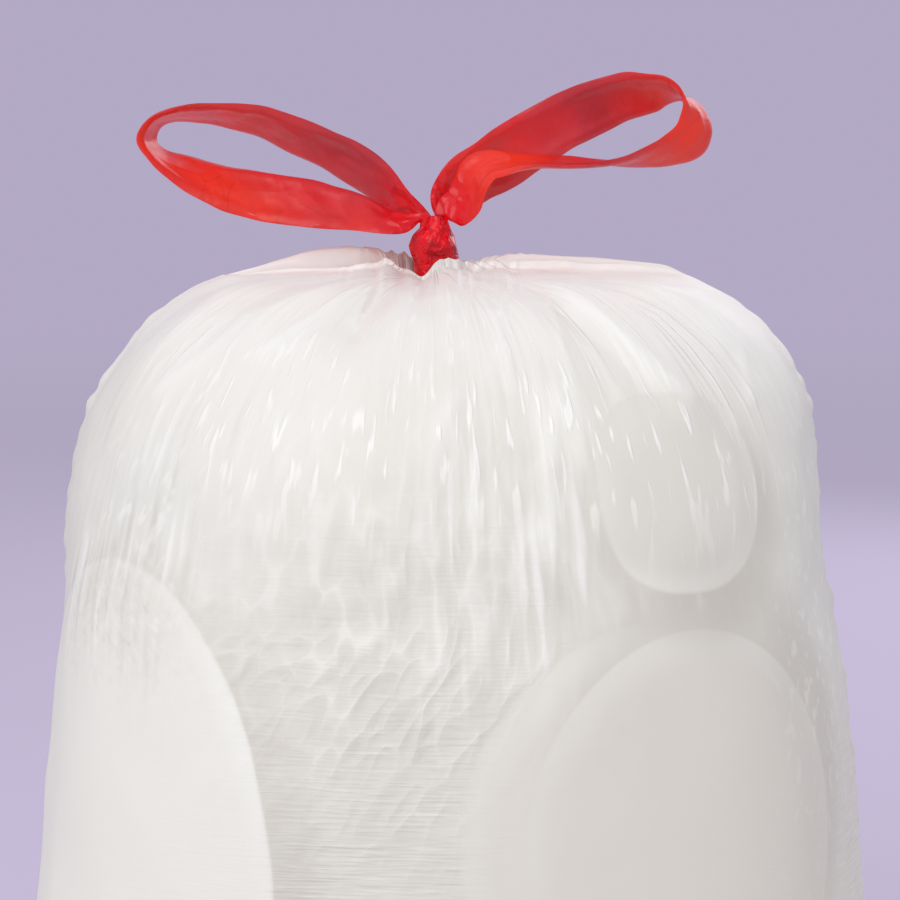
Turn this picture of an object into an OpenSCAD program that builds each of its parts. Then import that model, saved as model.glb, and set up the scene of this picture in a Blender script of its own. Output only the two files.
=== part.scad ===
// Filled drawstring bin bag: a white film bag packed full, its mouth gathered along a hem
// and tied shut by two red draw tapes in a half knot with two loops.
// Origin: middle of the flat underside. +X to the viewer's right, +Y to the back, +Z up.

/* [Bag] */
// Width of the filled bag at its widest
bag_w = 406; // [360:1:450]
// Depth of the filled bag, front to back
bag_d = 364; // [320:1:420]
// Height of the shoulder, up to the foot of the gathered hem
bag_h = 420; // [380:1:460]
// How far the film stands out at each side seal
seal_w = 5; // [2:0.5:8]
// Thickness of a side seal at its root
seal_t = 3; // [2:0.5:5]

/* [Gathered hem] */
// Length of the closed mouth, from one side seal to the other
mouth_l = 222; // [190:1:250]
// How far the hem stands up beside the knot, as a full lobe
hem_h = 14; // [10:1:18]
// Thickness of the hem's two layers and the tape inside them
hem_t = 4; // [3:0.5:6]
// Number of pleats that the knot gathers round the mouth
pleat_count = 24; // [16:1:26]
// Depth of a pleat beside the knot
pleat_h = 3; // [1:0.25:4]
// Distance from the knot over which the pleats fade
pleat_reach = 90; // [60:1:120]

/* [Draw tape] */
// Width of the flat tape
tape_w = 28.5; // [20:0.5:32]
// Thickness of the tape, which stands for thinner film
tape_t = 0.7; // [0.6:0.1:1.2]
// Depth of the crease along the middle of the tape
tape_crease = 1.2; // [0:0.1:2]

/* [Knot] */
// Place of the knot along the mouth, from the middle of the bag
knot_x = -11; // [-30:1:30]
// Radius of one gathered tape where it leaves the hem
bundle_r = 5.2; // [4.5:0.1:6]
// Height of the knot above the foot of the hem
knot_h = 28; // [24:1:36]
// Depth of the gathered tapes below the foot of the hem
knot_sink = 9; // [5:1:14]
// Clearance between the two tapes, and between a tape and the film
fit_gap = 0.3; // [0.2:0.05:0.5]

/* [Hidden] */

columns = 4 * pleat_count;
half_columns = columns / 2;
film_white = [0.93, 0.92, 0.90];
tape_red = [0.86, 0.07, 0.11];

// The profile starts this far below the floor plane and is cut off flat there.
rest_cut = 3;
mouth_share = mouth_l / bag_w;
// Profile of the filled bag from the floor to the mouth: height, half width and half depth as shares
// of the full sizes, then roundness in width and in depth. The shoulder closes in on the mouth.
profile = [
    [-rest_cut / bag_h, 0.800, 0.77, 0.80, 0.80],
    [0.03, 0.960, 0.94, 0.80, 0.80],
    [0.12, 1.000, 1.00, 0.80, 0.80],
    [0.33, 0.952, 1.00, 0.82, 0.82],
    [0.52, 0.922, 0.99, 0.84, 0.84],
    [0.66, 0.892, 0.96, 0.86, 0.86],
    [0.77, 0.868, 0.92, 0.88, 0.88],
    [0.86, 0.825, 0.84, 0.92, 0.90],
    [0.925, 0.750, 0.72, 0.98, 0.94],
    [0.968, 1.20 * mouth_share, 0.56, 1.08, 0.98],
    [0.990, 1.08 * mouth_share, 0.36, 1.20, 1.00],
    [1.000, 1.00 * mouth_share, 0.16, 1.32, 1.00]
];
rows_per_span = [2, 2, 4, 4, 4, 3, 3, 4, 4, 3, 3];

// Height of the hem's back and front layer along the mouth, from the left end to the right: place as a
// share of half the mouth, and height as a share of a full lobe.
back_hem_line = [
    [-1.00, 0.00], [-0.90, 0.22], [-0.77, 0.54], [-0.63, 0.88], [-0.52, 1.00], [-0.43, 1.00],
    [-0.27, 0.75], [-0.15, 0.54], [-0.06, 0.40], [0.05, 0.42], [0.23, 0.74], [0.40, 0.72],
    [0.73, 0.54], [0.91, 0.36], [1.00, 0.00]
];
front_hem_line = [
    [-1.00, 0.00], [-0.72, 0.25], [-0.46, 0.29], [-0.30, 0.40], [-0.22, 0.20], [-0.16, 0.12],
    [-0.08, 0.40], [0.05, 0.38], [0.23, 0.50], [0.40, 0.56], [0.55, 0.43], [0.73, 0.43],
    [0.91, 0.28], [1.00, 0.00]
];

// Stations of the two loops, from the knot out and back to it. Place from the knot's top: across, in
// depth and up. Then the bearing of the line from the inner to the outer edge in the front view, its turn
// towards the viewer, and how far the tape is gathered.
back_loop = [
    [-5, -2.3, -0.5, -130, 5, 1.0], [-12, -4.5, -3, -98, 30, 0.8], [-22, -5, -2.5, -92, 48, 0.5],
    [-37, -4.5, 2.5, -88, 42, 0.15], [-56, -4, 5.5, -93, 42, 0], [-79, -3.5, 9, -98, 34, 0],
    [-102, -3, 14.5, -106, 44, 0], [-118, -2, 20.5, -120, 58, 0], [-131, -1, 27.5, -140, 75, 0],
    [-138, 0, 36, -185, 77, 0], [-132, 2, 46, -235, 82, 0], [-115, 3, 49, -258, 74, 0],
    [-96, 4, 48, -284, 65, 0], [-78, 5, 44, -296, 58, 0], [-47, 6, 30, -295, 45, 0.05],
    [-27, 6, 16.5, -298, 38, 0.2], [-14, 4.5, 5, -304, 30, 0.6], [-4, 1.6, -0.5, -350, 0, 1.0]
];
front_loop = [
    [4, -1.6, -0.5, -10, 4, 1.0], [8, -5, 1.5, -48, 22, 0.5], [15, -8, 7.5, -38, 40, 0.2],
    [19, -10.5, 17, -50, 50, 0], [25, -12, 23, -57, 56, 0], [34, -13, 24.5, -78, 66, 0],
    [47, -14, 26, -88, 78, 0], [65, -14, 26, -90, 82, 0], [84, -13, 25.5, -86, 92, 0],
    [104, -9, 28, -68, 111, 0], [115, -7, 31, -54, 126, 0], [123, -6, 36, -40, 134, 0],
    [126, -4.5, 43.5, -24, 130, 0], [125, -3, 50.5, -8, 116, 0], [120, -1, 55.5, 26, 96, 0],
    [112, 1.5, 58, 76, 62, 0], [103, 3, 58.5, 94, 48, 0], [91.5, 4, 57, 100, 36, 0],
    [80, 5.5, 53, 114, 27, 0], [64, 6, 45, 122, 20, 0], [43.5, 7, 33.5, 120, 14, 0],
    [26, 7, 22, 124, 22, 0], [15.5, 6.5, 15, 136, 20, 0.05], [7, 5, 7, 148, 15, 0.4],
    [4, 1.6, -0.5, 170, 4, 1.0]
];

// Flat round things that press on the film from inside: middle across, in depth and up as shares of
// half the width, half the depth and the height, then width, height, turn away from the front, and how
// far they stand out.
plates = [
    [-0.73, -0.63, 0.370, 184, 284, -50, 5],
    [0.48, -0.82, 0.783, 82, 82, 24, 4],
    [0.48, -0.93, 0.429, 144, 180, 23, 4],
    [0.48, -0.99, 0.436, 198, 198, 0, 3]
];
plate_edge = 0.08;

// Folds that run out from the knot over the shoulder: bearing seen from above, spread, height, reach.
folds = [
    [-48, 6, 6, 185], [-26, 5, 5, 170], [-66, 4, 3, 150], [-108, 5, -5, 140], [-128, 5, 3, 150],
    [-152, 6, 4, 170], [-168, 5, -3, 160], [24, 6, 4, 170], [52, 6, -4, 160], [84, 6, 4, 160],
    [118, 6, -4, 160], [150, 6, 4, 170]
];

// Soft bulges of what fills the bag: bearing from above, height as a share, spread in degrees,
// spread in height, and how far it stands out.
bulges = [
    [180, 0.74, 40, 70, 9], [200, 0.30, 35, 90, 2], [0, 0.69, 45, 45, -7], [275, 0.58, 28, 60, 4],
    [45, 0.52, 32, 80, 5], [115, 0.34, 34, 90, 5], [160, 0.62, 30, 70, -4], [80, 0.70, 26, 60, -4]
];

// Smooth step from 0 to 1 between two marks.
function ease(lo, hi, v) = let (t = min(1, max(0, (v - lo) / (hi - lo)))) t * t * (3 - 2 * t);
function mix(a, b, t) = a + (b - a) * t;
function bell(v) = exp(-v * v);
// Smallest turn between two bearings.
function turn(a, b) = let (d = abs(a - b) % 360) min(d, 360 - d);
function signed_power(v, e) = sign(v) * pow(abs(v), e);

// Smooth curve through stations, t running from station i to the next.
function curve(p, i, t) =
    let (a = p[max(i - 1, 0)], b = p[i], c = p[i + 1], d = p[min(i + 2, len(p) - 1)],
         k1 = (c - a) / 2, k2 = (2 * a - 5 * b + 4 * c - d) / 2, k3 = (3 * b - a - 3 * c + d) / 2)
    b + k1 * t + k2 * t * t + k3 * t * t * t;

// How far the film stands out at a point of the bag.
function plate_relief(p, plate) =
    let (dx = p.x - plate[0] * bag_w / 2, dy = p.y - plate[1] * bag_d / 2,
         across = dx * cos(plate[5]) + dy * sin(plate[5]),
         deep = dy * cos(plate[5]) - dx * sin(plate[5]),
         reach = norm([across / plate[3], (p.z - plate[2] * bag_h) / plate[4]]) * 2)
    plate[6] * (1 - ease(1 - plate_edge, 1 + plate_edge, reach)) * (1 - ease(0.3, 0.5, deep / plate[3]));
function bulge_relief(p, bulge) =
    bulge[4] * bell(turn(atan2(p.y / bag_d, p.x / bag_w), bulge[0]) / bulge[2])
    * bell((p.z - bulge[1] * bag_h) / bulge[3]);
function fold_relief(p, fold) =
    let (r = norm([p.x - knot_x, p.y]))
    fold[2] * bell(turn(atan2(p.y, p.x - knot_x), fold[0]) / fold[1])
    * ease(0.05, 0.15, r / bag_w) * (1 - ease(fold[3] * 0.8, fold[3], r)) * ease(0.60, 0.80, p.z / bag_h);
function total(values, i = 0) = i < len(values) ? values[i] + total(values, i + 1) : 0;
function relief(p) =
    total([for (plate = plates) plate_relief(p, plate)])
    + total([for (bulge = bulges) bulge_relief(p, bulge)])
    + total([for (fold = folds) fold_relief(p, fold)]);

// Pleats are crests and valleys on every fourth column, deepest beside the knot.
function pleat(i, p) =
    pleat_h * cos(90 * i) * (0.75 + 0.25 * sin(130 * i)) * bell(norm([p.x - knot_x, p.y]) / pleat_reach);

// The side seals are the columns at both ends of the width, with a close column on each side.
function from_seal(i) = let (d = i % half_columns) min(d, half_columns - d);
function seal_edge(z) =
    seal_w * ease(0.02, 0.10, z / bag_h) * (1 - ease(0.60, 0.72, z / bag_h))
    * (0.8 + 0.3 * sin(9 * z) * sin(4 * z));

// Point of a ring at column i, for a station of the profile.
function ring_flat(i, s) =
    let (a = 360 * i / columns, w = s[1] * bag_w / 2, d = s[2] * bag_d / 2,
         near = from_seal(i) == 1,
         side = i % half_columns < half_columns / 2 ? 1 : -1,
         next = signed_power(sin(360 * 2 / columns), s[4]) * d)
    near ? [sign(cos(a)) * w, side * sign(cos(a)) * min(seal_t / 2, next / 2), s[0] * bag_h]
         : [w * signed_power(cos(a), s[3]), d * signed_power(sin(a), s[4]), s[0] * bag_h];
function ring_point(i, s) =
    let (p = ring_flat(i, s), w = s[1] * bag_w, d = s[2] * bag_d,
         g = [p.x / (w * w), p.y / (d * d)], n = g / norm(g),
         up = ease(0.88, 0.985, s[0]) * (1 - 0.7 * ease(0.985, 1, s[0])),
         out = (relief(p) + pleat(i, p)) * ease(0, 0.10, s[0]),
         seal = from_seal(i) == 0 ? seal_edge(p.z) : 0)
    p + [n.x * (out * (1 - up) + seal), n.y * out * (1 - up), out * up];

// The hem: two standing layers with the mouth's slit between them, opened round the knot. Its rings go
// up the outside, over the top and down into the slit: distance from the slit's middle as a share of
// the hem's thickness, height as a share of the lobe, depth as a share of the knot's, and waviness.
hem_rings = [[1, 0.15, 0, 1], [1, 0.75, 0, 1], [0.7, 1, 0, 1], [0.2, 0.9, 0, 0.2], [0.15, 0, 1, 0.2]];
hem_wave = 0.8;
neck_r = 2 * bundle_r + 3 * fit_gap;
function neck_open(x) = neck_r * bell((x - knot_x) / (1.4 * neck_r));
function hem_point(i, ring) =
    let (a = 360 * i / columns, end = mouth_l / 2, x = end * signed_power(cos(a), 1.4),
         s = sin(a), q = from_seal(i) == 1 ? sin(180 / columns) * sign(s) : s,
         thin = signed_power(q, 0.5) * (ring[0] * hem_t + neck_open(x)),
         stand = ring[1] * hem_h * lookup(x / end, s < 0 ? front_hem_line : back_hem_line),
         wave = ring[3] * hem_wave * cos(90 * i) * bell((x - knot_x) / (pleat_reach / 2)))
    [x, thin + sign(s) * wave, bag_h + stand - ring[2] * knot_sink];

body_stations = [
    for (i = [0 : len(profile) - 2])
        for (k = [0 : rows_per_span[i] - 1])
            curve(profile, i, k / rows_per_span[i]),
    profile[len(profile) - 1]
];
bag_rings = concat(
    [for (s = body_stations) [for (i = [0 : columns - 1]) ring_point(i, s)]],
    [for (ring = hem_rings) [for (i = [0 : columns - 1]) hem_point(i, ring)]]
);

// Closed skin over a stack of rings with the same number of points.
function stack_faces(rings, n) = [
    for (k = [0 : rings - 2]) for (i = [0 : n - 1])
        [k * n + i, (k + 1) * n + i, (k + 1) * n + (i + 1) % n, k * n + (i + 1) % n]
];

module bag() {
    top = (len(bag_rings) - 1) * columns;
    color(film_white)
        difference() {
            polyhedron(
                points = [for (ring = bag_rings) for (p = ring) p],
                faces = concat(
                    stack_faces(len(bag_rings), columns),
                    [[for (i = [0 : columns - 1]) i]],
                    [for (i = [0 : half_columns - 1])
                        i == 0 ? [top, top + columns - 1, top + 1]
                        : i == half_columns - 1 ? [top + i, top + columns - i, top + i + 1]
                        : [top + i, top + columns - i, top + columns - i - 1, top + i + 1]]
                )
            );
            translate([-bag_w, -bag_d, -2 * rest_cut])
                cube([2 * bag_w, 2 * bag_d, 2 * rest_cut]);
        }
}

// The knot: both legs of a loop are gathered side by side into one strand, and the strands of the two
// tapes turn round each other between the hem and the loops.
strand_rings = 10;
strand_turn = 270;
strand_taper = 0.6;
head_r = bundle_r * strand_taper;
knot_top = [knot_x, 0, bag_h + knot_h];
strand_foot = bag_h - knot_sink + fit_gap;
strand_head = knot_top.z - head_r;
// A gathered leg is a little narrower than its share of the strand.
leg_share = 0.95;
// A frame of the tape: its middle, the direction across it, half its width, how thick it is when
// gathered, and how far it is gathered.
function gathered_t(r) = r - fit_gap - 2 * gather_wave;
function leg_frame(t, start, side, way) =
    let (r = mix(bundle_r, head_r, t), off = r + fit_gap / 2, a = start - strand_turn * t,
         out = [cos(a), sin(a), 0], round = [-sin(a), cos(a), 0])
    [[knot_x, 0, mix(strand_foot, strand_head, t)] + off * out + side * r / 2 * round,
     way * out, leg_share * r, gathered_t(r), 1];
function loop_frame(s) =
    [knot_top + [s[0], s[1], s[2]], [cos(s[4]) * cos(s[3]), -sin(s[4]), cos(s[4]) * sin(s[3])],
     mix(tape_w / 2, leg_share * head_r, s[5]), gathered_t(head_r), s[5]];

// Section of the tape at a frame: five points across on each face. Flat tape bows to its middle crease,
// and gathered tape is thick and waved.
gather_wave = 0.35;
across = [-1, -0.5, 0, 0.5, 1];
function tape_bow(v, g) = tape_crease * (1 - g) * (1 - v * v) + gather_wave * g * cos(360 * v);
function tape_half(v, f) = mix(tape_t / 2, f[3] / 2 * (1 - 0.65 * v * v), f[4]);
function tape_ring(f, ahead) =
    let (c = cross(ahead, f[1]), n = c / norm(c))
    concat(
        [for (v = across) f[0] + v * f[2] * f[1] + (tape_bow(v, f[4]) - tape_half(v, f)) * n],
        [for (v = across) f[0] - v * f[2] * f[1] + (tape_bow(v, f[4]) + tape_half(v, f)) * n]
    );
// Triangles between two rings of the tape, split the same way on both faces so that a twist keeps
// its thickness.
function tape_faces(rings, n) = [
    for (k = [0 : rings - 2]) for (i = [0 : n - 1])
        let (a = k * n + i, b = a + n, c = (k + 1) * n + (i + 1) % n, d = k * n + (i + 1) % n)
        each (i < n / 2 ? [[a, b, c], [a, c, d]] : [[a, b, d], [b, c, d]])
];
loop_steps = 3;
module draw_tape(stations, start, side) {
    last = len(stations) - 1;
    way = [
        for (i = [0 : last - 1]) for (k = [0 : loop_steps - 1]) curve(stations, i, k / loop_steps),
        stations[last]
    ];
    frames = concat(
        [for (k = [0 : strand_rings - 1]) leg_frame(k / (strand_rings - 1), start, side, 1)],
        [for (s = way) loop_frame(s)],
        [for (k = [0 : strand_rings - 1]) leg_frame(1 - k / (strand_rings - 1), start, -side, -1)]
    );
    count = len(frames);
    rings = [
        for (k = [0 : count - 1])
            tape_ring(frames[k],
                k < strand_rings ? [0, 0, 1]
                : k >= count - strand_rings ? [0, 0, -1]
                : frames[k + 1][0] - frames[k - 1][0])
    ];
    n = 2 * len(across);
    e = n * (count - 1);
    color(tape_red)
        polyhedron(
            points = [for (ring = rings) for (p = ring) p],
            faces = concat(
                tape_faces(count, n),
                [for (i = [0 : n / 2 - 2]) [i, i + 1, n - 2 - i, n - 1 - i]],
                [for (i = [0 : n / 2 - 2]) [e + n - 1 - i, e + n - 2 - i, e + i + 1, e + i]]
            )
        );
}

module back_draw_tape() {
    draw_tape(back_loop, 90, 1);
}

module front_draw_tape() {
    draw_tape(front_loop, 270, -1);
}

bag();
back_draw_tape();
front_draw_tape();
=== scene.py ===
import math

import bmesh
import bpy
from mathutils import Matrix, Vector, noise


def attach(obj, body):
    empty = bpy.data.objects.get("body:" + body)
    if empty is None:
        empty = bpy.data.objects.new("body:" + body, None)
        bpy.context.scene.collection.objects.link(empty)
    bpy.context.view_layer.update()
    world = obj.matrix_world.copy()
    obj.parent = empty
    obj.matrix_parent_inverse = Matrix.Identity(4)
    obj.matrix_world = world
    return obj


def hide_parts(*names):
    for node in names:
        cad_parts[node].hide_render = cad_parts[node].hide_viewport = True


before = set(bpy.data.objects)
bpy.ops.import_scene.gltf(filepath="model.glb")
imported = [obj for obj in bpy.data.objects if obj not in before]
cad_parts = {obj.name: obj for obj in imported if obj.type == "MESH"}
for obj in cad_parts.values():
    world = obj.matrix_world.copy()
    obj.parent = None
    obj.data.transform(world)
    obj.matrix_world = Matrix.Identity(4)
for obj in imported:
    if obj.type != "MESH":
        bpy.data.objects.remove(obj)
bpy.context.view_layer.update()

# Camera.
# It stands in front of the bag and looks a little down on it, close enough that the sides of the bag
# fill the frame and its foot is out of sight.
VIEW_CENTRE = Vector((-0.003, 0.0, 0.3355))
VIEW_WIDTH = 0.435
VIEW_DISTANCE = 1.4
VIEW_TILT = math.radians(5)

lens = bpy.data.cameras.new("camera")
lens.sensor_width = 36
lens.lens = 36 * VIEW_DISTANCE / VIEW_WIDTH
camera = bpy.data.objects.new("camera", lens)
camera.location = VIEW_CENTRE + VIEW_DISTANCE * Vector((0, -math.cos(VIEW_TILT), math.sin(VIEW_TILT)))
camera.rotation_euler = (math.pi / 2 - VIEW_TILT, 0, 0)
bpy.context.scene.collection.objects.link(camera)
bpy.context.scene.camera = camera


# The bag's film: its shape.
# One tube of milky polyethylene film, folded at its foot and sealed at both sides, blown tight over
# what fills it. The knot gathers its hem, so creases run out from there over the shoulder.
KNOT_X = -0.011
HEM_Z = 0.420
RING = 0.19
# How high each kind of wrinkle stands.
GATHER_HEIGHT = 0.0014
FINE_GATHER_HEIGHT = 0.0006
TENSION_HEIGHT = 0.0005
LUMP_HEIGHT = 0.0016
SLACK_HEIGHT = 0.0008
FOOT_FOLD_HEIGHT = 0.0022
SLOW_FOLD_HEIGHT = 0.0010
SWELL_HEIGHT = 0.0015
BUCKLE_HEIGHT = 0.0007
SEAL_HEIGHT = 0.0044
PLEAT_DEPTH = 0.0034
PLEAT_HEIGHT = 0.0020
RUFFLE_HEIGHT = 0.0014
PLEAT_WIDTH = 0.0062
# A fold this high gets the full painted highlight on its crest.
FULL_HIGHLIGHT_FOLD_HEIGHT = 0.0016

# Without a seed, noise_vector gives other bends each run.
noise.seed_set(1)


def ramp(low, high, value):
    t = min(1.0, max(0.0, (value - low) / (high - low)))
    return t * t * (3 - 2 * t)


def hump(value, middle, spread):
    return math.exp(-(((value - middle) / spread) ** 2))


def crease(place):
    """Sharp crests with soft valleys between them, from -1 to 1."""
    return 1 - 2 * abs(noise.noise(place))


def patches(p, scale, low, high, shift=(0, 0, 0)):
    """Soft patches of the film: 1 in them and 0 between them."""
    return ramp(low, high, noise.noise(p * scale + Vector(shift)))


def stretched(run, across, along, shift=0.0):
    """A place on the film counted in wrinkles of one size across and another along."""
    return Vector((run.x / across, run.y / across, run.z / along + shift))


def run_out(p):
    """Place on the film by how it runs out from the knot: a point on a ring, then the way down."""
    out = Vector((p.x - KNOT_X, p.y))
    reach = out.length
    on_ring = out * (RING / max(reach, 1e-5))
    return Vector((on_ring.x, on_ring.y, reach + HEM_Z - p.z)), reach


# Single folds that stand out on the front, as points across and up: height, half width, points.
FRONT_FOLDS = [
    (0.0022, 0.0032, [(0.020, 0.424), (0.047, 0.416), (0.064, 0.406), (0.085, 0.386), (0.103, 0.370)]),
    (-0.0014, 0.0035, [(0.022, 0.417), (0.050, 0.404), (0.074, 0.384), (0.092, 0.366)]),
    (0.0016, 0.0028, [(0.060, 0.423), (0.094, 0.413), (0.112, 0.409), (0.129, 0.388), (0.132, 0.366)]),
    (0.0012, 0.0028, [(0.090, 0.402), (0.112, 0.384), (0.124, 0.356)]),
    (-0.0020, 0.0032, [(-0.026, 0.418), (-0.037, 0.412), (-0.041, 0.405), (-0.046, 0.397)]),
    (0.0014, 0.0035, [(-0.032, 0.420), (-0.058, 0.408), (-0.088, 0.388)]),
    (0.0012, 0.0045, [(-0.050, 0.420), (-0.095, 0.402), (-0.135, 0.370)]),
    (0.0010, 0.0030, [(0.006, 0.421), (0.018, 0.400), (0.024, 0.376)]),
    (0.0010, 0.0024, [(0.041, 0.411), (0.045, 0.399), (0.051, 0.370), (0.054, 0.342)]),
    (0.0012, 0.0030, [(-0.001, 0.372), (-0.007, 0.358), (-0.012, 0.338), (-0.016, 0.313)]),
    (0.0014, 0.0045, [(0.044, 0.370), (0.041, 0.354), (0.039, 0.329), (0.039, 0.305)]),
    (0.0018, 0.0020, [(-0.033, 0.424), (-0.040, 0.412), (-0.045, 0.402)]),
    (0.0014, 0.0012, [(-0.024, 0.421), (-0.026, 0.413)]),
    (0.0012, 0.0010, [(-0.019, 0.418), (-0.020, 0.411)]),
    (0.0014, 0.0016, [(-0.010, 0.422), (-0.004, 0.413), (-0.002, 0.404)]),
    (0.0012, 0.0014, [(0.010, 0.424), (0.013, 0.414)]),
    (0.0012, 0.0016, [(0.026, 0.425), (0.022, 0.414), (0.020, 0.404)]),
]


def fold_lift(p):
    """How far the single folds lift the film at a place."""
    lift = 0.0
    if p.y < 0.01 and p.z > 0.29:
        for height, width, points in FRONT_FOLDS:
            nearest = 1.0
            for (ax, az), (bx, bz) in zip(points, points[1:]):
                ux, uz = bx - ax, bz - az
                t = ((p.x - ax) * ux + (p.z - az) * uz) / (ux * ux + uz * uz)
                t = min(1.0, max(0.0, t))
                nearest = min(nearest, math.hypot(p.x - ax - t * ux, p.z - az - t * uz))
            lift += height * math.exp(-nearest / width)
    return lift


def seal_lift(p):
    """The welded seal down each side: a low ruffled ridge."""
    off = p.y + 0.014 * (1 - ramp(0.30, 0.41, p.z))
    ruffle = 0.3 + 0.9 * abs(noise.noise(Vector((p.x, 4.0, p.z / 0.013))))
    ends = ramp(0.02, 0.06, p.z) * (1 - ramp(0.39, 0.415, p.z))
    return SEAL_HEIGHT * hump(off, 0.0, 0.0050) * ruffle * ends * ramp(0.10, 0.14, abs(p.x))


# The flat round things inside that press on the film: middle, width, height, turn and squareness.
BIG_PLATE = ((0.100, -0.180, 0.183), 0.198, 0.192, 0, 2.0)
LOWER_PLATE = ((0.105, -0.166, 0.180), 0.156, 0.183, 23, 2.0)
UPPER_PLATE = ((0.100, -0.149, 0.330), 0.081, 0.085, 24, 2.6)
LEFT_PLATE = ((-0.148, -0.114, 0.155), 0.184, 0.284, -50, 2.0)


def pressed(p, plate):
    """1 where a round thing presses on the film and 0 off it."""
    (x, y, z), wide, high, turned, square = plate
    turn = math.radians(turned)
    across = ((p.x - x) * math.cos(turn) + (p.y - y) * math.sin(turn)) / (wide / 2)
    deep = (p.y - y) * math.cos(turn) - (p.x - x) * math.sin(turn)
    out = (abs(across) ** square + abs((p.z - z) / (high / 2)) ** square) ** (1 / square)
    return (1 - ramp(0.97, 1.03, out)) * (1 - ramp(0.06, 0.10, deep))


def film_marks(p):
    """How strongly each kind of wrinkle shows at a place on the film."""
    held_left = pressed(p, LEFT_PLATE) * (1 - 0.7 * ramp(0.225, 0.300, p.z))
    held_low = max(held_left, pressed(p, LOWER_PLATE), pressed(p, BIG_PLATE))
    free = 1 - 0.75 * max(held_low, pressed(p, UPPER_PLATE))
    front = ramp(0.02, 0.09, -p.y)
    centre = hump(p.x, -0.022, 0.085) * hump(p.z, 0.266, 0.080) * front
    behind = ramp(-0.05, 0.08, p.y) * hump(p.z, 0.24, 0.10) * patches(p, 7, -0.2, 0.3, (3, 0, 0))
    reach = math.hypot(p.x - KNOT_X, p.y)
    right_shoulder = hump(p.x, 0.11, 0.07) * ramp(0.34, 0.37, p.z) * front
    gathers = min(1.0, hump(reach, 0.0, 0.055) + 0.7 * right_shoulder + 0.35 * ramp(0.36, 0.40, p.z))
    slack_left = hump(p.x, -0.138, 0.036) * hump(p.z, 0.322, 0.030) * front
    slack_right = ramp(0.125, 0.165, p.x) * hump(p.z, 0.29, 0.11)
    slack_back = ramp(0.13, 0.175, -p.x) * ramp(0.0, 0.1, p.y) * hump(p.z, 0.30, 0.10)
    ribs = hump(p.z, 0.285, 0.075) + 0.5 * ramp(-0.02, 0.06, p.y) * hump(p.z, 0.12, 0.09)
    ribs *= (1 - 0.6 * centre) * (1 - 0.8 * ramp(0.04, 0.08, p.x)) * (1 - 0.45 * ramp(0.0, 0.08, p.y))
    ribs *= patches(p, 8, -0.4, 0.1, (0, 9, 0))
    lines = min(1.0, hump(p.z, 0.15, 0.075) + 0.45 * centre) * patches(p, 6, -0.45, 0.1, (0, 5, 0))
    dashes = (1 + 0.4 * ramp(0.03, 0.09, p.x)) * hump(p.z, 0.365, 0.042) * patches(p, 9, -0.30, 0.15)
    between_plates = 0.9 * hump(p.x, 0.058, 0.045) * hump(p.z, 0.285, 0.055) * front
    above_centre = 0.6 * hump(p.x, -0.01, 0.05) * hump(p.z, 0.325, 0.035) * front
    return {
        "crumple": free * min(1.0, centre + 0.55 * behind),
        "dashes": dashes * (1 - 0.8 * held_low),
        "ribs": free * ribs,
        "lines": free * lines,
        "loose": min(1.0, slack_left + slack_right + slack_back),
        "leaning": 1 - ramp(0.240, 0.300, p.z),
        "gathers": free * gathers,
        "shaded": min(1.0, centre + between_plates + above_centre),
        "slants": hump(p.x, -0.150, 0.045) * hump(p.z, 0.268, 0.035) * front,
    }


def film_lift(p):
    """How far wrinkles lift the film at a place, in metres."""
    run, reach = run_out(p)
    marks = film_marks(p)
    patchy = ramp(-0.3, 0.4, noise.noise(stretched(run, 0.06, 0.12, 21)))
    gather = crease(stretched(run, 0.036, 0.18))
    gather_fine = crease(stretched(run, 0.014, 0.07, 7))
    near = hump(reach, 0.0, 0.10) * ramp(0.015, 0.05, reach)
    lift = near * (GATHER_HEIGHT * gather + FINE_GATHER_HEIGHT * gather_fine * patchy)
    tension = crease(stretched(run, 0.022, 0.09, 3))
    lift += TENSION_HEIGHT * marks["dashes"] * tension * patchy
    warp = p + 0.010 * noise.noise_vector(p * 28)
    lumps = noise.noise(warp / 0.022) + 0.5 * noise.noise(warp / 0.011 + Vector((5, 2, 0)))
    lift += LUMP_HEIGHT * marks["crumple"] * lumps
    lift += SLACK_HEIGHT * marks["loose"] * crease(stretched(run, 0.020, 0.040, 11))
    upright = Vector((run.x, run.y, p.z))
    lift += FOOT_FOLD_HEIGHT * hump(p.z, 0.035, 0.035) * crease(stretched(upright, 0.026, 0.11, 31))
    slow = crease(stretched(upright, 0.045, 0.16, 17))
    lift += SLOW_FOLD_HEIGHT * hump(p.z, 0.16, 0.09) * slow * ramp(-0.15, 0.05, p.y)
    lift += SWELL_HEIGHT * noise.noise(p * 17) + BUCKLE_HEIGHT * crease(p * 22)
    return lift * ramp(0.004, 0.03, p.z) + fold_lift(p) + seal_lift(p)


def hem_pleat(p):
    """Small pleats of the hem beside the knot: crests at 1, valleys below 0."""
    return crease(Vector((p.x / PLEAT_WIDTH, 0.7 if p.y < 0 else 3.1, 0)))


# Where the knot lowers or lifts the front hem's edge: place across, spread, height.
HEM_DIPS = [(-0.0165, 0.0048, -0.0048), (-0.033, 0.006, 0.0022), (-0.002, 0.008, 0.0018)]


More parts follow.
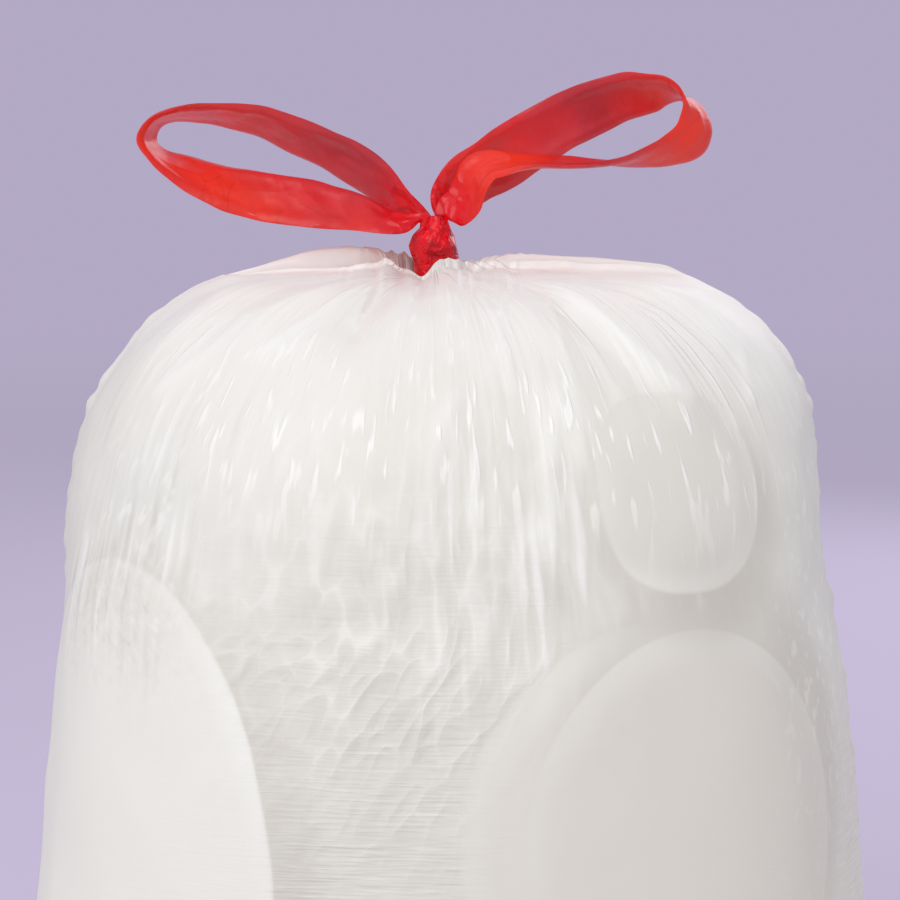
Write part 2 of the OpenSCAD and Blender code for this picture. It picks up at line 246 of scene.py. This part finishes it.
def hem_set(p):
    """Where a point of the hem lies once the knot has gathered it in small pleats."""
    share = ramp(HEM_Z - 0.014, HEM_Z + 0.004, p.z)
    gathered = hump(p.x, KNOT_X - 0.012, 0.028) + 0.35 * hump(p.x, KNOT_X + 0.030, 0.030)
    pleat = hem_pleat(p)
    ruffle = noise.noise(Vector((p.x / 0.012, 2.1 if p.y < 0 else 9.3, 0)))
    side = math.copysign(1.0, p.y) * ramp(0.0, 0.003, abs(p.y))
    dip = sum(height * hump(p.x, middle, spread) for middle, spread, height in HEM_DIPS)
    rise = RUFFLE_HEIGHT * (0.3 + gathered) * ruffle + PLEAT_HEIGHT * gathered * pleat
    return share * Vector(
        (
            0.0012 * gathered * noise.noise(Vector((p.x / 0.006, 1.3, p.z / 0.01))),
            side * (PLEAT_DEPTH * gathered * pleat + RUFFLE_HEIGHT * ruffle),
            rise + dip * ramp(0.0, 0.004, -p.y),
        )
    )


def joined(mesh, face_angle):
    """A mesh to work on: the loose triangles of a solid merged, and joined in pairs where nearly flat."""
    bm = bmesh.new()
    bm.from_mesh(mesh)
    bmesh.ops.remove_doubles(bm, verts=bm.verts, dist=1e-5)
    bmesh.ops.join_triangles(
        bm,
        faces=bm.faces,
        angle_face_threshold=math.radians(face_angle),
        angle_shape_threshold=math.radians(70),
    )
    return bm


def keep_strength(mesh, name, values):
    """Gives each point of a mesh a strength that its material reads."""
    mesh.attributes.new(name, "FLOAT", "POINT").data.foreach_set("value", values)


def by_knot(v):
    return v.co.z > 0.388 and v.co.y < 0.02 and abs(v.co.x - KNOT_X) < 0.065


bag_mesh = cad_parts["bag"].data.copy()
bag_mesh.materials.clear()
bm = joined(bag_mesh, 50)
bm.to_mesh(bag_mesh)
bm.free()
bag_film = bpy.data.objects.new("bag_film", bag_mesh)
bpy.context.scene.collection.objects.link(bag_film)
smooth = bag_film.modifiers.new("smooth", "SUBSURF")
smooth.levels = smooth.render_levels = 2
bpy.context.view_layer.update()
fine_mesh = bpy.data.meshes.new_from_object(bag_film.evaluated_get(bpy.context.evaluated_depsgraph_get()))
bag_film.modifiers.clear()
bag_film.data = fine_mesh

bm = bmesh.new()
bm.from_mesh(fine_mesh)
knot_edges = [e for e in bm.edges if all(by_knot(v) for v in e.verts)]
bmesh.ops.subdivide_edges(bm, edges=knot_edges, cuts=1, use_grid_fill=True, smooth=1.0)
bm.normal_update()
marks = {name: [] for name in film_marks(Vector())}
blush, folds, runs, lifts = [], [], [], []
for v in bm.verts:
    for name, strength in film_marks(v.co).items():
        marks[name].append(strength)
    run, reach = run_out(v.co)
    runs.extend(run)
    stand = ramp(HEM_Z - 0.009, HEM_Z, v.co.z)
    beside = hump(v.co.x, -0.028, 0.013)
    pink = beside * (0.55 if v.co.y > 0 else 0.10 + 0.6 * (1 - ramp(-0.1, 0.6, hem_pleat(v.co))))
    blush.append(0.6 * stand * pink)
    folds.append(max(0.0, fold_lift(v.co) / FULL_HIGHLIGHT_FOLD_HEIGHT))
    away = 1 - ramp(HEM_Z - 0.008, HEM_Z, v.co.z)
    lifts.append(v.normal * (film_lift(v.co) * away) + hem_set(v.co))
for v, lift in zip(bm.verts, lifts):
    v.co += lift
low_right = [v for v in bm.verts if v.co.x > -0.03 and v.co.y < -0.06 and 0.08 < v.co.z < 0.285]
high_left = [v for v in bm.verts if v.co.x < -0.110 and v.co.y < -0.03 and 0.245 < v.co.z < 0.330]
for part, rounds in ((low_right, 18), (high_left, 8)):
    for _ in range(rounds):
        bmesh.ops.smooth_vert(bm, verts=part, factor=0.5, use_axis_x=True, use_axis_y=True, use_axis_z=True)
bm.to_mesh(fine_mesh)
bm.free()
fine_mesh.shade_smooth()
marks["blush"] = blush
marks["folds"] = folds
for name, strengths in marks.items():
    keep_strength(fine_mesh, name, strengths)
fine_mesh.attributes.new("run", "FLOAT_VECTOR", "POINT").data.foreach_set("vector", runs)


# The bag's film: its finish.
# Milky film with a soft shine. Highlights are painted on its creases, folds, crests and the top of its
# shoulder, and shade is painted into its hollows, the valleys of its ribs, the middle and lower part of its
# front and beside the round things. It is greyer where it hangs clear of what fills the bag, and the flat
# round things inside show through where they press on it.
film = bpy.data.materials.new("milky_film")
film.use_nodes = True
nodes, links = film.node_tree.nodes, film.node_tree.links
shader = nodes["Principled BSDF"]


def feed(socket, value):
    if hasattr(value, "links"):
        links.new(value, socket)
    else:
        socket.default_value = value


def attribute(name):
    node = nodes.new("ShaderNodeAttribute")
    node.attribute_name = name
    return node.outputs["Vector" if name == "run" else "Fac"]


def maths(operation, a, b=0.0):
    node = nodes.new("ShaderNodeMath")
    node.operation = operation
    feed(node.inputs[0], a)
    feed(node.inputs[1], b)
    return node.outputs[0]


def times(a, b):
    return maths("MULTIPLY", a, b)


def rest_of(share):
    return maths("SUBTRACT", 1.0, share)


def swing(texture):
    """A texture about its middle, from about -0.5 to 0.5."""
    return maths("SUBTRACT", texture, 0.5)


def window(value, low, high):
    """0 below the low mark, 1 above the high one, and smooth between."""
    node = nodes.new("ShaderNodeMapRange")
    node.interpolation_type = "SMOOTHSTEP"
    feed(node.inputs["Value"], value)
    node.inputs["From Min"].default_value = low
    node.inputs["From Max"].default_value = high
    return node.outputs["Result"]


def mapped(source, scale=(1, 1, 1), lean=0.0, offset=(0, 0, 0)):
    """A place scaled, then leaned over in the front view by some degrees and shifted."""
    mapping = nodes.new("ShaderNodeMapping")
    mapping.inputs["Scale"].default_value = scale
    mapping.inputs["Rotation"].default_value = (0, math.radians(lean), 0)
    mapping.inputs["Location"].default_value = offset
    links.new(source, mapping.inputs["Vector"])
    return mapping.outputs["Vector"]


def grain(source, scale, detail=2.0, distortion=0.0):
    """Noise over a place, drawn out by its own scale along each axis."""
    texture = nodes.new("ShaderNodeTexNoise")
    texture.inputs["Scale"].default_value = 1.0
    texture.inputs["Detail"].default_value = detail
    texture.inputs["Roughness"].default_value = 0.55
    texture.inputs["Distortion"].default_value = distortion
    links.new(mapped(source, scale), texture.inputs["Vector"])
    return texture.outputs["Fac"]


def crests(texture):
    """Sharp ridges where a texture crosses its middle."""
    off = maths("ABSOLUTE", swing(texture))
    return rest_of(maths("MINIMUM", times(off, 10.0), 1.0))


def facets(source, scale, wobble, feature="F1"):
    """Small hollows with ridges between them, as film has once it has been scrunched: 0 to about 1."""
    scaled = mapped(source, scale)
    stir = nodes.new("ShaderNodeTexNoise")
    stir.inputs["Scale"].default_value = 0.7
    stir.inputs["Detail"].default_value = 0.0
    links.new(scaled, stir.inputs["Vector"])
    shift = nodes.new("ShaderNodeVectorMath")
    shift.operation = "MULTIPLY_ADD"
    links.new(stir.outputs["Color"], shift.inputs[0])
    shift.inputs[1].default_value = (wobble, wobble, wobble)
    links.new(scaled, shift.inputs[2])
    cells = nodes.new("ShaderNodeTexVoronoi")
    cells.feature = feature
    cells.inputs["Scale"].default_value = 1.0
    links.new(shift.outputs[0], cells.inputs["Vector"])
    return cells.outputs["Distance"]


def blend(share, under, over):
    node = nodes.new("ShaderNodeMix")
    node.data_type = "RGBA"
    feed(node.inputs["Factor"], share)
    for socket, value in ((node.inputs["A"], under), (node.inputs["B"], over)):
        feed(socket, value if hasattr(value, "links") else (*value, 1))
    return node.outputs["Result"]


def disc(place_at, wide, high, turned, square, soft):
    """A flat round thing behind the film: 1 on it, 0 off it. It faces the front, turned to one side."""
    mapping = nodes.new("ShaderNodeMapping")
    mapping.vector_type = "TEXTURE"
    mapping.inputs["Location"].default_value = place_at
    mapping.inputs["Rotation"].default_value = (0, 0, math.radians(turned))
    mapping.inputs["Scale"].default_value = (wide / 2, 1, high / 2)
    links.new(place, mapping.inputs["Vector"])
    split = nodes.new("ShaderNodeSeparateXYZ")
    links.new(mapping.outputs["Vector"], split.inputs[0])
    across, deep, up = split.outputs
    if square == 2.0:
        out = maths("ADD", times(across, across), times(up, up))
    else:
        across, up = (maths("POWER", maths("ABSOLUTE", off), square) for off in (across, up))
        out = maths("ADD", across, up)
    inside = rest_of(window(out, (1 - soft) ** square, (1 + soft) ** square))
    return times(inside, rest_of(window(deep, 0.06, 0.10)))


def ring_of(outer, inner):
    """What is on the outer disc and off the inner one."""
    return maths("MAXIMUM", maths("SUBTRACT", outer, inner), 0.0)


def raised(height, strength):
    """The surface's normal once a height in metres stands on it."""
    bump = nodes.new("ShaderNodeBump")
    bump.inputs["Strength"].default_value = strength
    bump.inputs["Distance"].default_value = 1.0
    links.new(height, bump.inputs["Height"])
    return bump.outputs["Normal"]


place = nodes.new("ShaderNodeTexCoord").outputs["Object"]
run = attribute("run")

split = nodes.new("ShaderNodeSeparateXYZ")
links.new(place, split.inputs[0])
up_place = split.outputs["Z"]

# Each round thing has a painted highlight on the rim round its middle, and painted shade on the film beside
# it.
big_plate = disc(*BIG_PLATE, 0.015)
big_middle = disc((0.106, -0.180, 0.178), 0.188, 0.180, 0, 2.0, 0.07)
lower_plate = disc(*LOWER_PLATE, 0.012)
lower_middle = disc((0.108, -0.166, 0.176), 0.148, 0.172, 23, 2.0, 0.08)
lower_shade = disc((0.116, -0.161, 0.200), 0.160, 0.196, 23, 2.0, 0.14)
upper_plate = disc(*UPPER_PLATE, 0.03)
upper_middle = disc((0.095, -0.150, 0.338), 0.078, 0.085, 24, 2.6, 0.12)
upper_shade = disc((0.103, -0.149, 0.318), 0.100, 0.102, 24, 2.0, 0.20)
left_plate = disc(*LEFT_PLATE, 0.010)
left_plate = times(left_plate, rest_of(times(window(up_place, 0.225, 0.300), 0.7)))
left_middle = disc((-0.150, -0.114, 0.153), 0.176, 0.274, -50, 2.0, 0.05)
left_shade = disc((-0.142, -0.118, 0.150), 0.202, 0.298, -50, 2.0, 0.09)

dash_spots = times(window(grain(run, (230, 230, 34), 1.0), 0.58, 0.70), attribute("dashes"))
rib_share = times(attribute("ribs"), swing(grain(run, (170, 170, 18), 1.0)))
slanted = mapped(place, lean=-27)
across_slant = mapped(place, lean=50)
scrunched = attribute("crumple")
# The hollows stand upright above and lean over lower down. Both run in step where they meet.
upright_cells = mapped(run, (120, 120, 34))
leaning_cells = mapped(slanted, (120, 120, -50), offset=(15.7, 0, 22.8))
hollows = facets(blend(attribute("leaning"), upright_cells, leaning_cells), (1, 1, 1), 1.45)
row_share = times(attribute("lines"), swing(grain(place, (45, 45, 800), 1.0)))
slant_lines = times(swing(grain(across_slant, (250, 250, 16), 1.0)), attribute("slants"))
slack_waves = times(window(grain(slanted, (160, 160, 90), 1.0), 0.56, 0.70), attribute("loose"))
gather_lines = times(crests(grain(run, (85, 85, 6), 1.0)), attribute("gathers"))

DASH_RELIEF = 0.0003
HOLLOW_RELIEF = 0.0012
LEANING_HOLLOW_EXTRA = 0.0016
ROW_RELIEF = 0.0006
RIB_RELIEF = 0.0016
GATHER_RELIEF = 0.0006
hollow_depth = maths("ADD", HOLLOW_RELIEF, times(attribute("leaning"), LEANING_HOLLOW_EXTRA))
height = times(dash_spots, DASH_RELIEF)
for part in (
    times(times(hollows, scrunched), hollow_depth),
    times(row_share, ROW_RELIEF),
    times(rib_share, RIB_RELIEF),
    times(gather_lines, GATHER_RELIEF),
):
    height = maths("ADD", height, part)
links.new(raised(height, 0.8), shader.inputs["Normal"])

MILK = (0.90, 0.885, 0.87)
WARM = (0.86, 0.84, 0.81)
CREST_HIGHLIGHT = (0.97, 0.97, 0.965)
HIGHLIGHT_WHITE = (1.0, 1.0, 1.0)
LIT_SHOULDER = (0.955, 0.94, 0.93)
CLEAR_OF_FILL = (0.84, 0.84, 0.83)
SHADED_FILM = (0.76, 0.735, 0.70)
MOTTLED = (0.90, 0.885, 0.86)
SHADE_BESIDE_PLATES = (0.64, 0.61, 0.57)
SHADE_BETWEEN_RIBS = (0.70, 0.68, 0.65)
SHADE_IN_HOLLOWS = (0.66, 0.63, 0.59)
BY_RED_TAPE = (0.80, 0.36, 0.38)
FILM_ROUGHNESS = 0.44


def streaked(colour, share, light_gain, dark_gain, dark):
    """A colour with painted highlights on the crests and painted shade in the valleys along its streaks."""
    colour = blend(window(times(share, light_gain), 0.0, 1.0), colour, CREST_HIGHLIGHT)
    return blend(window(times(share, -dark_gain), 0.0, 1.3), colour, dark)


colour = blend(window(grain(place, (9, 9, 9)), 0.42, 0.66), MILK, WARM)
colour = blend(times(attribute("loose"), 0.75), colour, CLEAR_OF_FILL)
# Painted light: the top of the bag, where the shoulder faces up to the lamps, is painted lighter.
colour = blend(times(window(up_place, 0.362, 0.412), 0.65), colour, LIT_SHOULDER)
# Painted shade over the middle of the front, between the round things and above the middle.
colour = blend(times(attribute("shaded"), 0.75), colour, SHADED_FILM)
mottling = times(window(grain(place, (38, 38, 30), 1.0), 0.44, 0.64), attribute("shaded"))
colour = blend(times(mottling, 0.30), colour, MOTTLED)
# Painted shade, in patches, over the lower part of the bag and the middle of the front.
colour = blend(times(attribute("lines"), 0.45), colour, SHADED_FILM)

# Painted shade lies on what is round each thing, and a painted highlight on its rim makes the rim lighter
# than its middle.
for shade, plate, middle, strength, tone, rim in (
    (None, big_plate, big_middle, 0.55, (0.79, 0.76, 0.73), (0.86, 0.845, 0.82)),
    (lower_shade, lower_plate, lower_middle, 0.6, (0.775, 0.745, 0.715), (0.83, 0.81, 0.785)),
    (upper_shade, upper_plate, upper_middle, 0.6, (0.78, 0.755, 0.725), (0.89, 0.875, 0.855)),
    (left_shade, left_plate, left_middle, 0.8, (0.93, 0.92, 0.90), (0.97, 0.965, 0.955)),
):
    if shade:
        colour = blend(times(ring_of(shade, plate), 0.5), colour, SHADE_BESIDE_PLATES)
    colour = blend(times(plate, strength), colour, tone)
    colour = blend(times(ring_of(plate, middle), 0.6), colour, rim)

# Painted highlights on the crests of the ribs and slanting lines, and painted shade in their valleys.
colour = streaked(colour, rib_share, 5.5, 5.5, SHADE_BETWEEN_RIBS)
colour = streaked(colour, slant_lines, 2.5, 2.5, SHADE_BETWEEN_RIBS)
# Painted highlights on the ridges between the hollows, and painted shade in the hollows.
ridges = times(window(hollows, 0.50, 0.90), scrunched)
colour = blend(times(ridges, 0.5), colour, (1.0, 1.0, 0.99))
pit_shade = times(rest_of(window(hollows, 0.1, 0.45)), scrunched)
colour = blend(times(pit_shade, 0.25), colour, SHADE_IN_HOLLOWS)
# Painted highlights and painted shade along the fine rows.
colour = streaked(colour, row_share, 2.0, 2.5, SHADE_IN_HOLLOWS)
# Painted highlights: white on the slack waves, the gather crests, the fold crests and the dashes.
for share, strength in (
    (slack_waves, 0.5),
    (gather_lines, 0.4),
    (attribute("folds"), 0.5),
    (dash_spots, 0.9),
):
    colour = blend(times(share, strength), colour, HIGHLIGHT_WHITE)
colour = blend(attribute("blush"), colour, BY_RED_TAPE)
links.new(colour, shader.inputs["Base Color"])
links.new(maths("SUBTRACT", FILM_ROUGHNESS, times(dash_spots, 0.15)), shader.inputs["Roughness"])

bag_film.data.materials.clear()
bag_film.data.materials.append(film)
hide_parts("bag")
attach(bag_film, "root")


# The draw tapes.
# Two strips of clear red polyethylene film, 28 mm wide, each running through half of the hem and out of
# it as one loop. Thin tape lets light through, so it is deepest where two limbs or folds overlap.
tape_film = bpy.data.materials.new("red_tape_film")
tape_film.use_nodes = True
nodes, links = tape_film.node_tree.nodes, tape_film.node_tree.links
shader = nodes["Principled BSDF"]
shader.inputs["Specular IOR Level"].default_value = 0.35
shader.inputs["Coat Weight"].default_value = 0.15
shader.inputs["Coat Roughness"].default_value = 0.08
place = nodes.new("ShaderNodeTexCoord").outputs["Object"]
gathered = attribute("gathered")
folds = facets(place, (42, 42, 42), 0.5)
facing = facets(place, (150, 150, 120), 0.8)
edges = facets(place, (46, 46, 46), 0.9, "DISTANCE_TO_EDGE")
here_and_there = window(grain(place, (30, 30, 30), 1.0), 0.45, 0.60)
creased = times(rest_of(window(edges, 0.0, 0.035)), here_and_there)
RED_LIT = (0.80, 0.014, 0.018)
RED_DULL = (0.60, 0.014, 0.024)
RED_BRIGHT = (1.0, 0.045, 0.018)
RED_GATHERED = (0.80, 0.003, 0.010)
RED_CREASED = (0.42, 0.008, 0.014)
TAPE_ALPHA = 0.79
TAPE_ROUGHNESS = 0.36
FOLD_RELIEF = 0.0050
CRUMPLE_RELIEF = 0.0034
tone = blend(window(grain(place, (24, 24, 24)), 0.35, 0.68), RED_LIT, RED_DULL)
tone = blend(times(attribute("bright"), 0.9), tone, RED_BRIGHT)
tone = blend(times(gathered, 0.9), tone, RED_GATHERED)
tone = blend(times(creased, 0.25), tone, RED_CREASED)
links.new(tone, shader.inputs["Base Color"])
doubled = maths("MAXIMUM", gathered, times(attribute("bright"), 0.8))
links.new(maths("ADD", TAPE_ALPHA, times(doubled, 0.20)), shader.inputs["Alpha"])
links.new(maths("SUBTRACT", TAPE_ROUGHNESS, times(gathered, 0.16)), shader.inputs["Roughness"])
crumpled = times(times(facing, maths("ADD", gathered, 0.25)), CRUMPLE_RELIEF)
links.new(raised(maths("ADD", times(folds, FOLD_RELIEF), crumpled), 0.6), shader.inputs["Normal"])

# The knot gathers the tape from this reach inwards, and it has its full width beyond the farther one.
KNOT_TOP = Vector((KNOT_X, 0.0, 0.446))
GATHERED_REACH = 0.012
FLAT_REACH = 0.040
SLOW_BEND = 0.0014
QUICK_BEND = 0.0008
CRUSH = Vector((0, 0.0022, 0.0008))

# Where the tape catches more light: middle, spread, strength.
BRIGHT_SPOTS = [
    ((0.012, -0.011, 0.464), 0.024, 1.0),
    ((0.034, -0.014, 0.472), 0.016, 0.7),
    ((0.110, -0.005, 0.488), 0.030, 1.0),
    ((-0.147, 0.000, 0.484), 0.022, 1.0),
    ((-0.112, 0.003, 0.495), 0.026, 0.45),
    ((-0.118, -0.002, 0.456), 0.018, 0.8),
    ((-0.095, -0.004, 0.447), 0.018, 0.8),
    ((-0.070, -0.005, 0.441), 0.015, 0.5),
    ((-0.045, -0.004, 0.436), 0.014, 0.7),
]

for node in ("back_draw_tape", "front_draw_tape"):
    tape_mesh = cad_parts[node].data.copy()
    tape_mesh.materials.clear()
    tape_mesh.materials.append(tape_film)
    bm = joined(tape_mesh, 60)
    bmesh.ops.subdivide_edges(bm, edges=bm.edges, cuts=1, use_grid_fill=True, smooth=1.0)
    gathers, brights = [], []
    for v in bm.verts:
        spots = (part * hump((v.co - Vector(at)).length, 0.0, spread) for at, spread, part in BRIGHT_SPOTS)
        brights.append(min(1.0, sum(spots)))
        away = (v.co - KNOT_TOP).length
        flat = ramp(GATHERED_REACH, FLAT_REACH, away)
        gathers.append(1 - flat if v.co.z > KNOT_TOP.z - 0.01 else 1.0)
        bend = noise.noise_vector(v.co * 26) * SLOW_BEND + noise.noise_vector(v.co * 80) * QUICK_BEND
        crush = (0.25 + hump(away, 0.034, 0.024)) * crease(v.co * 62)
        free = flat * ramp(KNOT_TOP.z - 0.01, KNOT_TOP.z, v.co.z)
        v.co += free * (bend + crush * CRUSH)
    bm.to_mesh(tape_mesh)
    bm.free()
    keep_strength(tape_mesh, "gathered", gathers)
    keep_strength(tape_mesh, "bright", brights)
    tape = bpy.data.objects.new(node + "_film", tape_mesh)
    bpy.context.scene.collection.objects.link(tape)
    smooth = tape.modifiers.new("smooth", "SUBSURF")
    smooth.levels = smooth.render_levels = 1
    tape_mesh.shade_smooth()
    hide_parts(node)
    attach(tape, "root")


# The knot's wrap.
# Where the half knot is pulled tight, tape lies flat round both gathered strands and spreads down into
# the hem, with a few sharp folds.
knot_film = bpy.data.materials.new("red_knot_film")
knot_film.use_nodes = True
nodes, links = knot_film.node_tree.nodes, knot_film.node_tree.links
shader = nodes["Principled BSDF"]
shader.inputs["Roughness"].default_value = 0.24
shader.inputs["Specular IOR Level"].default_value = 0.25
shader.inputs["Coat Weight"].default_value = 0.15
shader.inputs["Coat Roughness"].default_value = 0.06
place = nodes.new("ShaderNodeTexCoord").outputs["Object"]
LIT_CRIMSON = (0.86, 0.003, 0.012)
DEEP_CRIMSON = (0.50, 0.002, 0.008)
WRAP_RELIEF = 0.0010
tone = blend(window(grain(place, (150, 150, 110), distortion=0.5), 0.40, 0.62), LIT_CRIMSON, DEEP_CRIMSON)
links.new(tone, shader.inputs["Base Color"])
fine_folds = crests(grain(place, (170, 170, 120), distortion=0.8))
links.new(raised(times(fine_folds, WRAP_RELIEF), 0.6), shader.inputs["Normal"])

# Rings of the wrap: height, half width, half depth, shift to the side.
WRAP = [
    (0.4150, 0.0090, 0.0090, 0.0010),
    (0.4190, 0.0099, 0.0098, 0.0014),
    (0.4244, 0.0102, 0.0102, 0.0016),
    (0.4292, 0.0107, 0.0104, 0.0008),
    (0.4340, 0.0109, 0.0104, -0.0004),
    (0.4386, 0.0098, 0.0096, -0.0006),
    (0.4418, 0.0074, 0.0080, 0.0012),
    (0.4450, 0.0056, 0.0064, 0.0020),
    (0.4474, 0.0050, 0.0058, 0.0022),
]
WRAP_CORNERS = 11
WRAP_FOLD_WIDTH = 0.0004
WRAP_THICKNESS = 0.0003
bm = bmesh.new()
bmesh.ops.create_circle(bm, segments=WRAP_CORNERS, radius=1.0)
rim = list(bm.edges)
for _ in WRAP[1:]:
    grown = bmesh.ops.extrude_edge_only(bm, edges=rim)["geom"]
    rim = [g for g in grown if isinstance(g, bmesh.types.BMEdge) and all(v in grown for v in g.verts)]
    bmesh.ops.translate(bm, verts=[g for g in grown if isinstance(g, bmesh.types.BMVert)], vec=(0, 0, 1))
for v in bm.verts:
    ring = round(v.co.z)
    z, wide, deep, aside = WRAP[ring]
    lean = 0.35 * ring + 0.5 * noise.noise(v.co * 1.7)
    bearing = math.atan2(v.co.y, v.co.x) + lean
    swell = 1.03 + 0.16 * noise.noise(Vector((v.co.x * 1.4, v.co.y * 1.4, ring * 0.6)))
    across = KNOT_X + aside + wide * swell * math.cos(bearing)
    v.co = Vector((across, deep * swell * math.sin(bearing), z + 0.0012 * noise.noise(v.co * 2.3)))
bmesh.ops.recalc_face_normals(bm, faces=bm.faces)
bmesh.ops.triangulate(bm, faces=bm.faces)
bmesh.ops.bevel(
    bm,
    geom=bm.edges,
    offset=WRAP_FOLD_WIDTH,
    segments=2,
    profile=0.5,
    affect="EDGES",
    clamp_overlap=True,
    material=-1,
)
bmesh.ops.solidify(bm, geom=bm.faces, thickness=WRAP_THICKNESS)
wrap_mesh = bpy.data.meshes.new("knot_wrap")
bm.to_mesh(wrap_mesh)
bm.free()
wrap_mesh.materials.append(knot_film)
wrap = bpy.data.objects.new("knot_wrap", wrap_mesh)
bpy.context.scene.collection.objects.link(wrap)
smooth = wrap.modifiers.new("smooth", "SUBSURF")
smooth.levels = smooth.render_levels = 1
wrap_mesh.shade_smooth()
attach(wrap, "root")


# The floor.
# One wide pale sheet that the bag stands on. It runs on to the horizon, where the room has its colour.
PALE_SEEN = (0.66, 0.59, 0.82)
FAR_SEEN = (0.45, 0.40, 0.56)
PALE_LIGHT = (0.74, 0.73, 0.72)
FLOOR_RADIUS = 30.0
FADE_NEAR = 2.0
FADE_FAR = 9.0
bm = bmesh.new()
bmesh.ops.create_circle(bm, cap_ends=True, segments=96, radius=FLOOR_RADIUS)
floor_mesh = bpy.data.meshes.new("floor")
bm.to_mesh(floor_mesh)
bm.free()
paper = bpy.data.materials.new("pale_paper")
paper.use_nodes = True
nodes, links = paper.node_tree.nodes, paper.node_tree.links


def seen_ray():
    """1 for what the camera sees straight, mirrored or through something, and 0 for other light."""
    ray = nodes.new("ShaderNodeLightPath").outputs
    through = maths("MAXIMUM", ray["Is Glossy Ray"], ray["Is Transmission Ray"])
    return maths("MAXIMUM", ray["Is Camera Ray"], through)


links.new(blend(seen_ray(), PALE_LIGHT, PALE_SEEN), nodes["Principled BSDF"].inputs["Base Color"])
nodes["Principled BSDF"].inputs["Roughness"].default_value = 0.9
far_off = nodes.new("ShaderNodeVectorMath")
far_off.operation = "LENGTH"
links.new(nodes.new("ShaderNodeTexCoord").outputs["Object"], far_off.inputs[0])
far_tone = nodes.new("ShaderNodeEmission")
far_tone.inputs["Color"].default_value = (*FAR_SEEN, 1)
fading = nodes.new("ShaderNodeMixShader")
links.new(times(window(far_off.outputs["Value"], FADE_NEAR, FADE_FAR), seen_ray()), fading.inputs[0])
links.new(nodes["Principled BSDF"].outputs[0], fading.inputs[1])
links.new(far_tone.outputs[0], fading.inputs[2])
links.new(fading.outputs[0], nodes["Material Output"].inputs["Surface"])
floor_mesh.materials.append(paper)
floor = bpy.data.objects.new("floor", floor_mesh)
bpy.context.scene.collection.objects.link(floor)


# Light.
# A large soft lamp above on the left gives the soft shading, a smaller one draws the glints on creases,
# a weak one lights the back, and the room fills in the rest.
def lamp(name, place, size, power):
    light = bpy.data.lights.new(name, "AREA")
    light.size = size
    light.energy = power
    holder = bpy.data.objects.new(name, light)
    holder.location = place
    holder.rotation_euler = (Vector((0, 0, 0.3)) - Vector(place)).to_track_quat("-Z", "Y").to_euler()
    bpy.context.scene.collection.objects.link(holder)


lamp("key_lamp", (-0.85, -1.8, 2.05), 2.0, 26)
lamp("glint_lamp", (0.2, -1.8, 1.7), 0.15, 2)
lamp("back_lamp", (1.1, 2.2, 1.5), 1.5, 9)
room = bpy.data.worlds.new("room")
room.use_nodes = True
nodes, links = room.node_tree.nodes, room.node_tree.links
room_light = nodes["Background"]
room_light.inputs["Color"].default_value = (1.0, 0.99, 0.97, 1)
room_light.inputs["Strength"].default_value = 0.62
room_seen = nodes.new("ShaderNodeBackground")
room_seen.inputs["Color"].default_value = (*FAR_SEEN, 1)
which = nodes.new("ShaderNodeMixShader")
links.new(seen_ray(), which.inputs[0])
links.new(room_light.outputs[0], which.inputs[1])
links.new(room_seen.outputs[0], which.inputs[2])
links.new(which.outputs[0], nodes["World Output"].inputs["Surface"])
bpy.context.scene.world = room
bpy.context.scene.view_settings.view_transform = "Standard"
